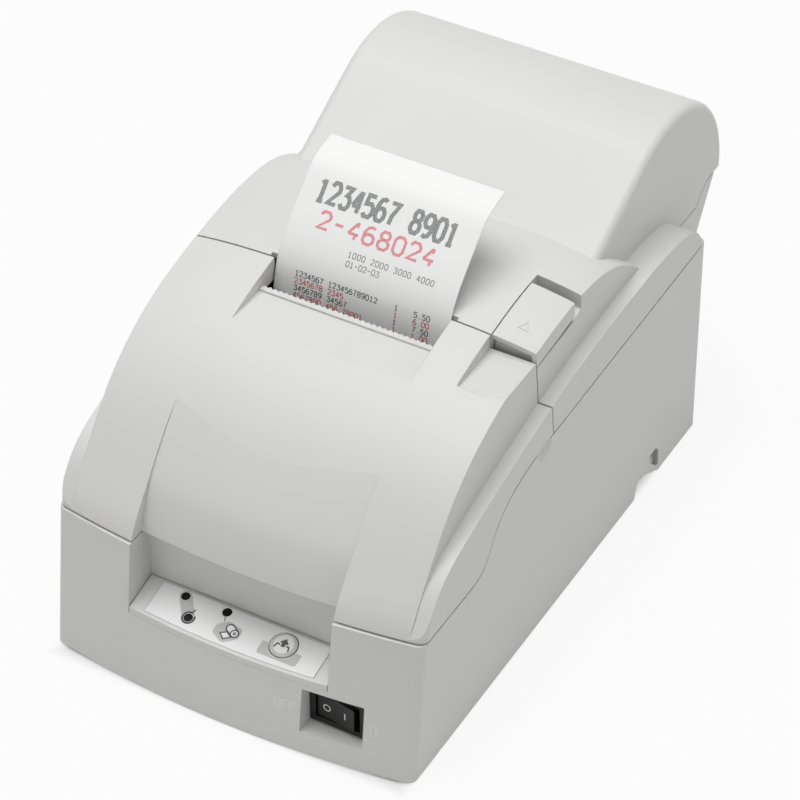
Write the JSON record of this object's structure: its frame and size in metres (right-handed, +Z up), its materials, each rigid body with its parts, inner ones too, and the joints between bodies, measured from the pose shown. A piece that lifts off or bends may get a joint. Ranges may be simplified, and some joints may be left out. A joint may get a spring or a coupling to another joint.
{
  "type": "receipt printer",
  "caption": "Desktop receipt printer in off-white plastic with two opening covers, cover lever, feed button, rocker switch, ribbon print head, cutter, roll and take-up spool.",
  "frame": {"origin": "on the table, at the middle of the width and of the overall depth", "axes": "+X to the right seen from the front, +Y to the rear, +Z up"},
  "size_m": [0.16, 0.2857, 0.1673],
  "materials": {
    "case_plastic": "fine grain",
    "panel_plastic": "fine grain",
    "overlay_film": "satin",
    "lamp_lens": "gloss",
    "button_plastic": "satin",
    "switch_plastic": "satin",
    "rubber": "matte",
    "steel": "brushed",
    "motor_metal": "satin",
    "inner_plastic": "satin",
    "gear_plastic": "satin",
    "head_metal": "cast",
    "ribbon_fabric": "woven",
    "paper": "paper",
    "card": "card",
    "board": "solder mask"
  },
  "bodies": {
    "case": {"lower_case": "case_plastic", "rear_panel": "case_plastic", "control_panel": "panel_plastic", "panel_overlay": "overlay_film", "status_lamps": "lamp_lens", "switch_housing": "switch_plastic", "rubber_feet": "rubber", "carriage_belt": "rubber", "mechanism_frame": "steel", "guide_shaft": "steel", "rear_hinge_pins": "steel", "platen": "steel", "cutter_frame": "steel", "fixed_blade": "steel", "connector_plate": "steel", "spool_brackets": "steel", "frame_screws": "steel", "board_screws": "steel", "service_screws": "steel", "carriage_motor": "motor_metal", "feed_motor": "motor_metal", "takeup_motor": "motor_metal", "ribbon_cassette": "inner_plastic", "roll_tray": "inner_plastic", "service_cover": "inner_plastic", "power_inlet": "inner_plastic", "drawer_jack": "inner_plastic", "interface_connector": "inner_plastic", "ribbon": "ribbon_fabric", "main_board": "board", "panel_board": "board"},
    "front_cover": {"front_cover": "case_plastic", "tear_bar": "case_plastic"},
    "rear_cover": {"rear_cover": "case_plastic", "receipt": "paper"},
    "cover_lever": {"cover_lever": "case_plastic", "latch_shaft": "steel"},
    "feed_button": {"feed_button": "button_plastic"},
    "power_rocker": {"power_rocker": "switch_plastic"},
    "carriage": {"carriage": "inner_plastic", "print_head": "head_metal"},
    "drive_pulley": {"drive_pulley": "gear_plastic"},
    "idler_pulley": {"idler_pulley": "gear_plastic"},
    "feed_roller": {"feed_shaft": "steel", "feed_sleeve": "rubber", "feed_gear": "gear_plastic"},
    "idler_gear": {"idler_gear": "gear_plastic"},
    "feed_pinion": {"feed_pinion": "gear_plastic"},
    "pinch_roller": {"pinch_roller": "steel"},
    "ribbon_knob": {"ribbon_knob": "inner_plastic"},
    "cutter_blade": {"cutter_blade": "steel"},
    "paper_roll": {"paper_roll": "paper", "paper_core": "card"},
    "takeup_spool": {"takeup_spool": "inner_plastic"}
  },
  "joints": [
    {"name": "front_cover_turn", "type": "hinge", "parent": "case", "child": "front_cover", "pos_m": [0, -0.1298, 0.06645], "axis": [1, 0, 0], "range_deg": [0, 75]},
    {"name": "rear_cover_turn", "type": "hinge", "parent": "case", "child": "rear_cover", "pos_m": [0, 0.13667, 0.10896], "axis": [-1, 0, 0], "range_deg": [0, 55]},
    {"name": "cover_lever_turn", "type": "hinge", "parent": "rear_cover", "child": "cover_lever", "pos_m": [0.0685, -0.012, 0.11198], "axis": [-1, 0, 0], "range_deg": [0, 6], "stiffness_Nm_per_rad": 0.4, "springref_deg": -2.86},
    {"name": "feed_button_slide", "type": "slide", "parent": "case", "child": "feed_button", "axis": [0, 0.2207, -0.9753], "range_m": [0, 0.0008], "stiffness_N_per_m": 200, "springref_m": -0.0005},
    {"name": "power_rocker_turn", "type": "hinge", "parent": "case", "child": "power_rocker", "pos_m": [0.0464, -0.12933, 0.021], "axis": [0, 0, 1], "range_deg": [0, 14]},
    {"name": "carriage_slide", "type": "slide", "parent": "case", "child": "carriage", "axis": [1, 0, 0], "range_m": [-0.028, 0.028]},
    {"name": "drive_pulley_turn", "type": "hinge", "parent": "case", "child": "drive_pulley", "pos_m": [-0.05, -0.091, 0.045], "axis": [0, 0, 1], "range_deg": [-278, 278]},
    {"name": "idler_pulley_turn", "type": "hinge", "parent": "case", "child": "idler_pulley", "pos_m": [0.05, -0.091, 0.045], "axis": [0, 0, 1], "range_deg": [-278, 278]},
    {"name": "feed_roller_turn", "type": "hinge", "parent": "case", "child": "feed_roller", "pos_m": [0, -0.03, 0.096], "axis": [1, 0, 0], "continuous": true},
    {"name": "idler_gear_turn", "type": "hinge", "parent": "case", "child": "idler_gear", "pos_m": [0.067, -0.03825, 0.06898], "axis": [1, 0, 0], "continuous": true},
    {"name": "feed_pinion_turn", "type": "hinge", "parent": "case", "child": "feed_pinion", "pos_m": [0.067, -0.057, 0.057], "axis": [1, 0, 0], "continuous": true},
    {"name": "pinch_roller_turn", "type": "hinge", "parent": "case", "child": "pinch_roller", "pos_m": [0, -0.0406, 0.096], "axis": [1, 0, 0], "continuous": true},
    {"name": "ribbon_knob_turn", "type": "hinge", "parent": "case", "child": "ribbon_knob", "pos_m": [0.0525, -0.0845, 0.0923], "axis": [0, 0, 1], "continuous": true},
    {"name": "cutter_blade_slide", "type": "slide", "parent": "case", "child": "cutter_blade", "axis": [0, 1, 0], "range_m": [0, 0.009]},
    {"name": "paper_roll_turn", "type": "hinge", "parent": "case", "child": "paper_roll", "pos_m": [0, 0.048, 0.0723], "axis": [1, 0, 0], "continuous": true},
    {"name": "takeup_spool_turn", "type": "hinge", "parent": "case", "child": "takeup_spool", "pos_m": [0, 0.094, 0.11], "axis": [1, 0, 0], "continuous": true}
  ],
  "couplings": [
    {"joint": "drive_pulley_turn", "follows": "carriage_slide", "rad_per_m": 172.41},
    {"joint": "idler_pulley_turn", "follows": "carriage_slide", "rad_per_m": 172.41},
    {"joint": "idler_gear_turn", "follows": "feed_roller_turn", "ratio": -0.75},
    {"joint": "feed_pinion_turn", "follows": "feed_roller_turn", "ratio": 2},
    {"joint": "pinch_roller_turn", "follows": "feed_roller_turn", "ratio": -1.5}
  ]
}
